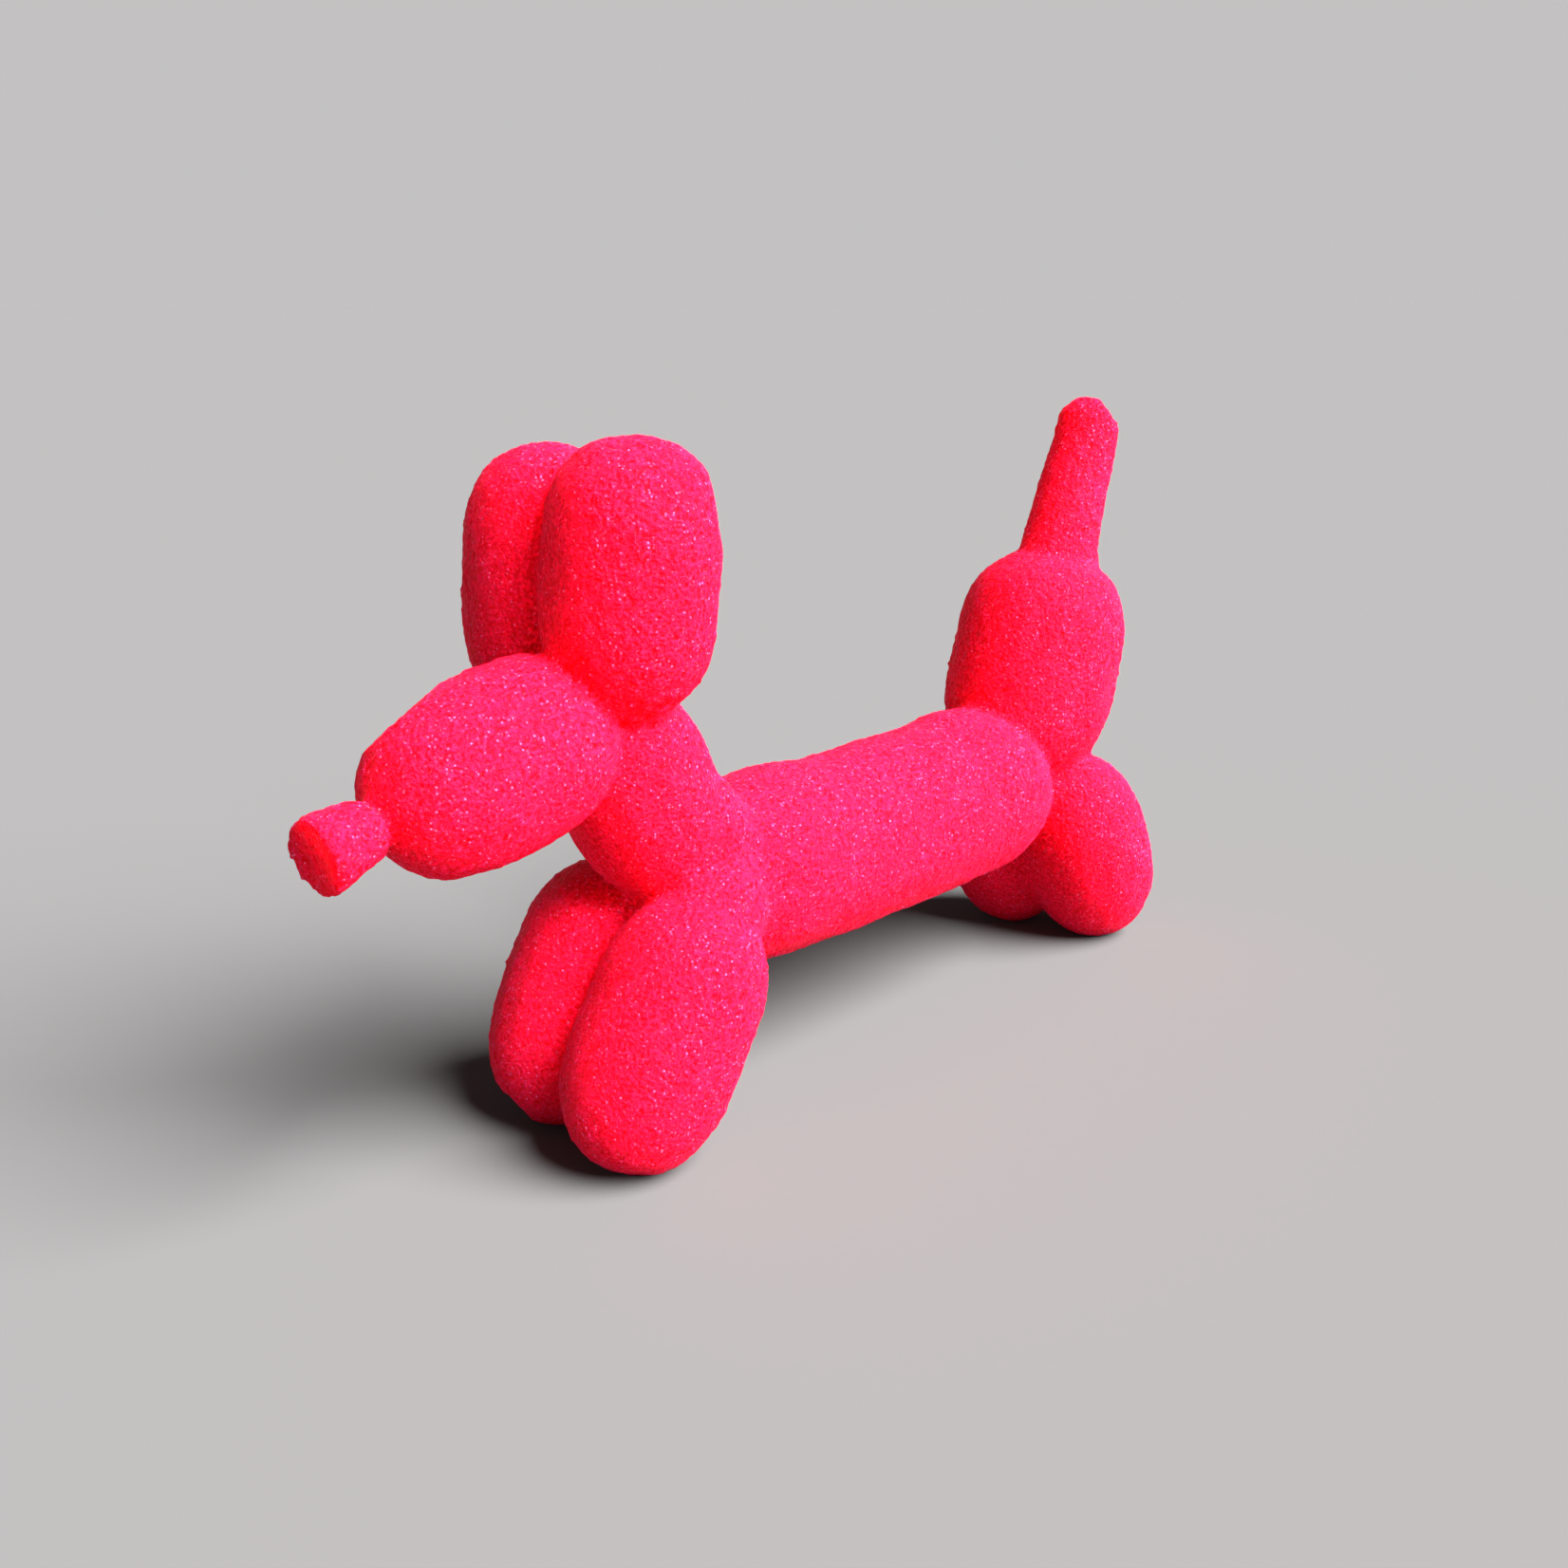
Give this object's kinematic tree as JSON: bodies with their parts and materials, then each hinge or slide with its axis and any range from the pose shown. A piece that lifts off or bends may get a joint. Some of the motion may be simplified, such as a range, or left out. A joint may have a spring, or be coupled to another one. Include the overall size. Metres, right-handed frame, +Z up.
{
  "type": "balloon dog figurine",
  "caption": "Balloon dog figure cut from soft red foam, with a knotted nose, upright ears, bulb-shaped limbs and a tapered tail, standing on its own feet as an ornament or prop.",
  "frame": {"origin": "on the surface that the dog stands on, under the middle of its length and width", "axes": "+Z up, the dog looks along -X, and its left side is towards -Y"},
  "size_m": [0.1862, 0.0508, 0.1112],
  "materials": {
    "red_foam": "matte"
  },
  "bodies": {
    "root": {"balloon_dog": "red_foam"}
  },
  "joints": []
}
